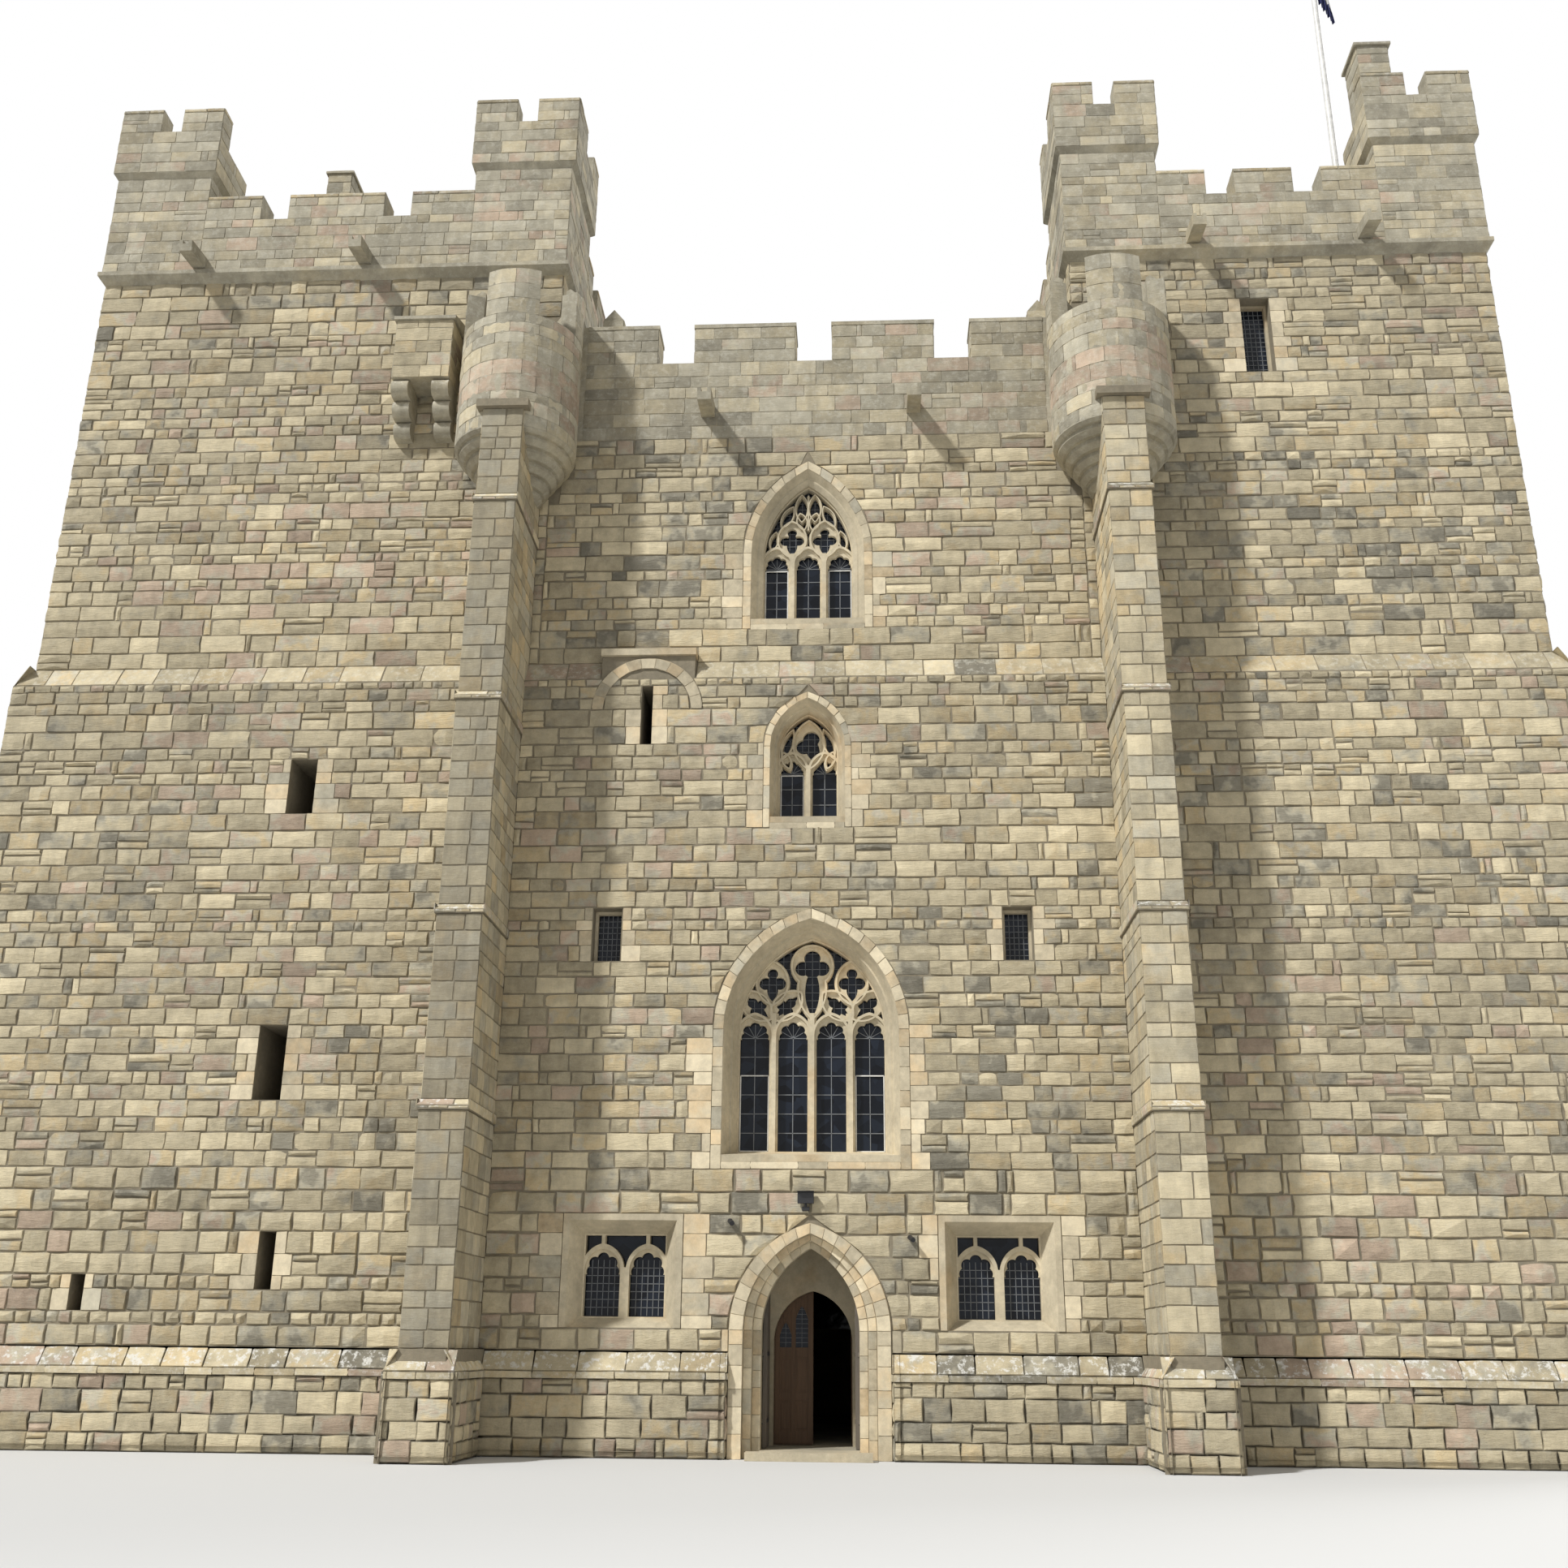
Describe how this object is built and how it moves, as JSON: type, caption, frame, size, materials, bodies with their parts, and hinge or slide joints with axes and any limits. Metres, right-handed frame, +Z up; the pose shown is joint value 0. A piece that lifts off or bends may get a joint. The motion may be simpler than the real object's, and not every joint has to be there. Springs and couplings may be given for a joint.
{
  "type": "castle keep",
  "caption": "Crenellated sandstone castle keep with corner towers, bartizans on stepped buttresses, traceried windows and an arched doorway with swinging doors.",
  "frame": {"origin": "on the ground at the middle of the plan", "axes": "entrance front faces -Y, X runs along the front, Z is up"},
  "size_m": [28.7, 20.24, 33.09],
  "materials": {
    "wall_stone": "squared rubble sandstone, buff with ochre, pink and grey blocks",
    "parapet_stone": "weathered grey-buff ashlar with lichen",
    "dressed_stone": "smooth dressed cream sandstone",
    "floor_stone": "worn flagstones",
    "floor_boards": "wide oak boards",
    "roof_lead": "dull grey lead sheet",
    "window_glass": "dark leaded glass",
    "door_oak": "brown oak",
    "hinge_iron": "black wrought iron",
    "pole_paint": "white gloss paint",
    "flag_cloth": "woven flag cloth in plain bands"
  },
  "bodies": {
    "keep": {"tower_front_left": "wall_stone", "tower_front_right": "wall_stone", "tower_rear_left": "wall_stone", "tower_rear_right": "wall_stone", "front_wall_left": "wall_stone", "front_wall_right": "wall_stone", "front_wall_over_door": "wall_stone", "rear_wall": "wall_stone", "side_walls": "wall_stone", "plinth_front": "wall_stone", "plinth_rear": "wall_stone", "plinth_sides": "wall_stone", "ground_floor": "floor_stone", "first_floor": "floor_boards", "second_floor": "floor_boards", "third_floor": "floor_boards", "hall_roof": "roof_lead", "tower_roofs": "roof_lead", "hall_parapets": "parapet_stone", "tower_parapets": "parapet_stone", "turrets": "parapet_stone", "buttresses": "wall_stone", "bartizans": "parapet_stone", "great_windows": "dressed_stone", "middle_windows": "dressed_stone", "top_windows": "dressed_stone", "ground_windows": "dressed_stone", "small_windows": "dressed_stone", "window_surrounds": "dressed_stone", "ground_glass": "window_glass", "first_glass": "window_glass", "second_glass": "window_glass", "third_glass": "window_glass", "spouts": "parapet_stone", "garderobe": "wall_stone", "roof_stacks": "parapet_stone", "flagpole": "pole_paint", "flag": "flag_cloth", "door_surround": "dressed_stone", "inner_door_frame": "dressed_stone", "door_steps": "dressed_stone", "hinge_hooks": "hinge_iron"},
    "outer_leaf_left": {"outer_leaf_left": "door_oak"},
    "outer_leaf_right": {"outer_leaf_right": "door_oak"},
    "inner_leaf_left": {"inner_leaf_left": "door_oak"},
    "inner_leaf_right": {"inner_leaf_right": "door_oak"}
  },
  "joints": [
    {"name": "outer_left_hinge", "type": "hinge", "parent": "keep", "child": "outer_leaf_left", "pos_m": [-0.095, -7.485, 0], "axis": [0, 0, 1], "range_deg": [-90, 0]},
    {"name": "outer_right_hinge", "type": "hinge", "parent": "keep", "child": "outer_leaf_right", "pos_m": [1.445, -7.485, 0], "axis": [0, 0, 1], "range_deg": [0, 90]},
    {"name": "inner_left_hinge", "type": "hinge", "parent": "keep", "child": "inner_leaf_left", "pos_m": [-0.015, -6.295, 0], "axis": [0, 0, 1], "range_deg": [0, 90]},
    {"name": "inner_right_hinge", "type": "hinge", "parent": "keep", "child": "inner_leaf_right", "pos_m": [1.365, -6.295, 0], "axis": [0, 0, 1], "range_deg": [0, 90]}
  ]
}
